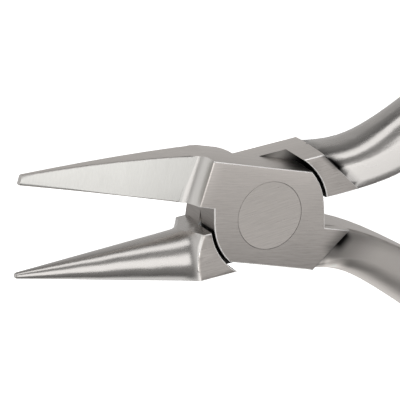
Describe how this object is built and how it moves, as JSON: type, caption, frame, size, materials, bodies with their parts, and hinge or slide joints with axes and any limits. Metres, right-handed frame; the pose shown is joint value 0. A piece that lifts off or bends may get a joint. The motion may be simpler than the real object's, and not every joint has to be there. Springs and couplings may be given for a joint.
{
  "type": "orthodontic pliers",
  "caption": "Steel bird-beak pliers with a flat tapering beak, a conical beak, a flush-pinned lap joint and long bowed handles, stored slightly open.",
  "frame": {"origin": "on the pivot axis, in the joint's rear face, which the instrument rests on", "axes": "+X from the beaks to the handle ends along the line that halves the opening, +Y towards the flat beak's side, +Z along the pivot to the front joint face"},
  "size_m": [0.1279, 0.0732, 0.0064],
  "materials": {
    "front_steel": "satin",
    "rear_steel": "satin",
    "pin_steel": "satin"
  },
  "bodies": {
    "front": {"front_half": "front_steel", "pivot_pin": "pin_steel"},
    "rear": {"rear_half": "rear_steel"}
  },
  "joints": [
    {"name": "pivot", "type": "hinge", "parent": "front", "child": "rear", "pos_m": [0, 0, 0], "axis": [0, 0, 1], "range_deg": [-19.5, 25]}
  ]
}
